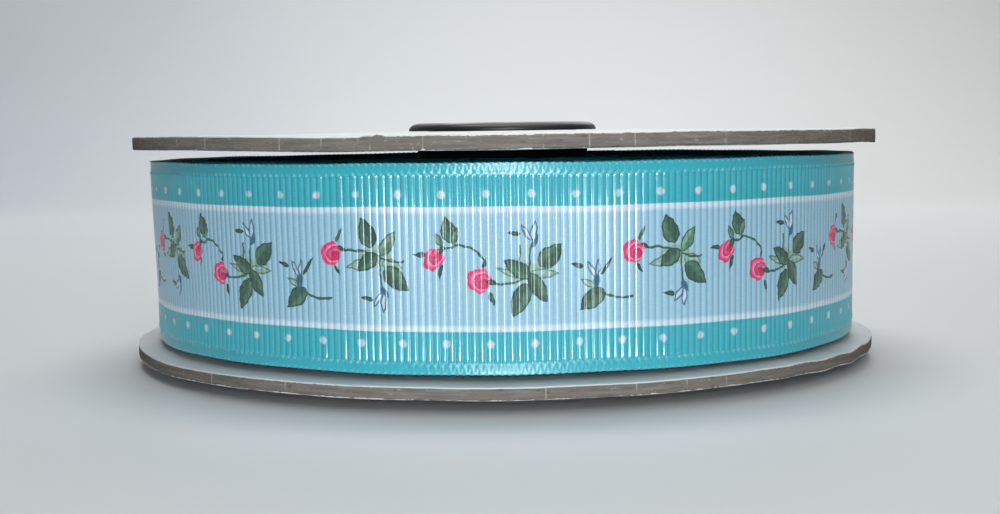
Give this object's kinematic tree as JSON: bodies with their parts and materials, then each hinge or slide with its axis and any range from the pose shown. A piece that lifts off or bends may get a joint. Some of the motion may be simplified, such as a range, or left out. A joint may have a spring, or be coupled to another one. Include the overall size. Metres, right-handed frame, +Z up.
{
  "type": "ribbon spool",
  "caption": "Spool of printed one-inch grosgrain ribbon: wound roll on a snap-together plastic hub between two round card boards, with a taped free end that peels open.",
  "frame": {"origin": "on the hub's axis, on the flat underside of the lower hub cap, which the spool lies on", "axes": "+Z up along the hub's axis, from the lower cap to the upper one; -Y towards the side with no ribbon end; +X completes the frame"},
  "size_m": [0.108, 0.108, 0.0342],
  "materials": {
    "black_plastic": "satin black moulded plastic",
    "grey_board": "grey-brown recycled board with a die-cut edge",
    "white_paper": "white clay-coated facing paper",
    "wound_ribbon": "teal polyester ribbon, edges of the wound turns",
    "printed_ribbon": "ribbed grosgrain, teal borders and pale blue middle with a rosebud print",
    "clear_tape": "clear adhesive tape"
  },
  "bodies": {
    "hub": {"core_drum": "black_plastic", "upper_hub_cap": "black_plastic", "lower_hub_cap": "black_plastic", "core_tape": "clear_tape", "ribbon_roll": "wound_ribbon", "ribbon_outer_turn": "printed_ribbon"},
    "top_flange": {"top_board": "grey_board", "top_board_outer_paper": "white_paper", "top_board_inner_paper": "white_paper"},
    "bottom_flange": {"bottom_board": "grey_board", "bottom_board_outer_paper": "white_paper", "bottom_board_inner_paper": "white_paper"},
    "ribbon_end": {"ribbon_tail": "printed_ribbon", "tail_tape": "clear_tape"}
  },
  "joints": [
    {"name": "top_flange_turn", "type": "hinge", "parent": "hub", "child": "top_flange", "pos_m": [0, 0, 0.03175], "axis": [0, 0, 1], "continuous": true},
    {"name": "bottom_flange_turn", "type": "hinge", "parent": "hub", "child": "bottom_flange", "pos_m": [0, 0, 0.00245], "axis": [0, 0, 1], "continuous": true},
    {"name": "tail_peel", "type": "hinge", "parent": "hub", "child": "ribbon_end", "pos_m": [0.01457, 0.04921, 0.01675], "axis": [0, 0, -1], "range_deg": [0, 90]}
  ]
}
